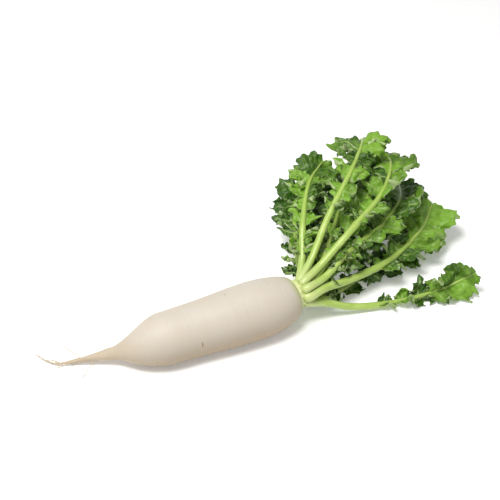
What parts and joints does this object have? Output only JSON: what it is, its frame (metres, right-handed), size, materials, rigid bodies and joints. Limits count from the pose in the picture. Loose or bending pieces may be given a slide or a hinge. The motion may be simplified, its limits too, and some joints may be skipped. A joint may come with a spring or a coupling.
{
  "type": "daikon radish",
  "caption": "Long white daikon radish with its leafy green tops on, lying on its side on a small flat under the root, its thin tail tapering to a thread.",
  "frame": {"origin": "middle of the small flat under the root, on the surface that the radish lies on", "axes": "+X along the root from its tail towards the leaves, -Z out of the flat towards the surface, +Y to complete a right-handed frame"},
  "size_m": [0.4971, 0.2194, 0.1201],
  "materials": {
    "root": "smooth, slightly waxy plant skin",
    "crown": "smooth plant tissue",
    "leaf": "soft leaf, a little waxy"
  },
  "bodies": {
    "root": {"root": "root", "crown": "crown", "leaf_01": "leaf", "leaf_02": "leaf", "leaf_03": "leaf", "leaf_04": "leaf", "leaf_05": "leaf", "leaf_06": "leaf", "leaf_07": "leaf", "leaf_08": "leaf", "leaf_09": "leaf", "leaf_10": "leaf", "leaf_11": "leaf", "leaf_12": "leaf", "leaf_13": "leaf"}
  },
  "joints": []
}
